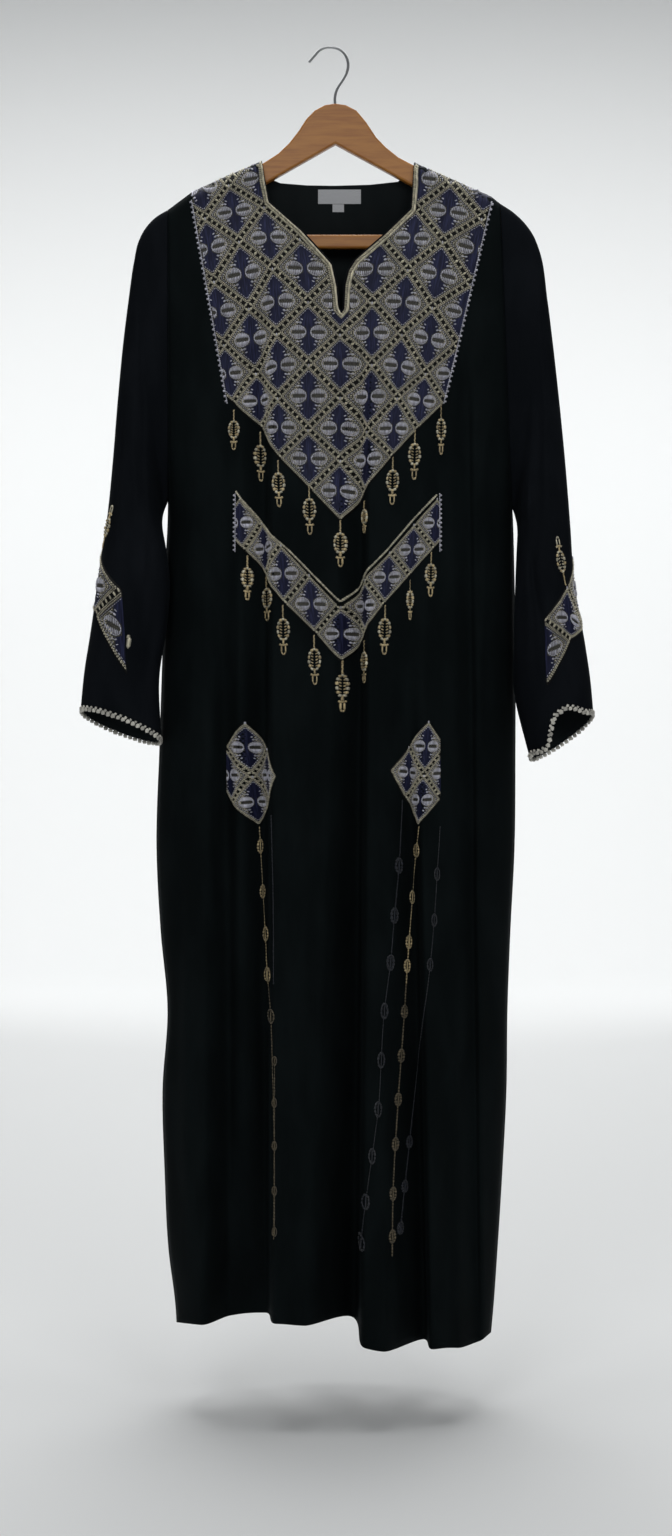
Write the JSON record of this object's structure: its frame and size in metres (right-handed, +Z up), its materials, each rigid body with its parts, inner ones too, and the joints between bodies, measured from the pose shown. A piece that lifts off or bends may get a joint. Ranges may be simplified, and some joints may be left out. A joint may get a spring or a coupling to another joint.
{
  "type": "embroidered velvet dress on a wooden hanger",
  "caption": "Full-length long-sleeved velvet dress with embroidered yoke, chevron band and sleeve bands, hollow and open at neck, hem and cuffs, on a wooden hanger with a bar and wire hook.",
  "frame": {"origin": "underside of the crest of the hanger's wire hook, where a rail or peg carries it", "axes": "+Z up, +X to the viewer's right when facing the front of the dress, +Y from the front of the dress to its back"},
  "size_m": [0.6131, 0.2333, 1.5466],
  "materials": {
    "velvet": "black cut-pile velvet with a soft grazing sheen",
    "embroidery": "navy satin patches with silver and gold thread lattice",
    "metallic_thread": "corded gold and silver thread",
    "label": "pale woven satin label, blank",
    "wood": "clear varnished orange-brown wood",
    "wire": "plated steel wire"
  },
  "bodies": {
    "root": {"front_panel": "velvet", "back_panel": "velvet", "sleeve_left": "velvet", "sleeve_right": "velvet", "yoke": "embroidery", "chevron_band": "embroidery", "hip_lozenge_left": "embroidery", "hip_lozenge_right": "embroidery", "sleeve_band_left": "embroidery", "sleeve_band_right": "embroidery", "neck_trim": "metallic_thread", "cuff_trim_left": "metallic_thread", "cuff_trim_right": "metallic_thread", "label": "label", "label_tab": "label", "hanger": "wood", "hanger_bar": "wood", "hook": "wire"}
  },
  "joints": []
}
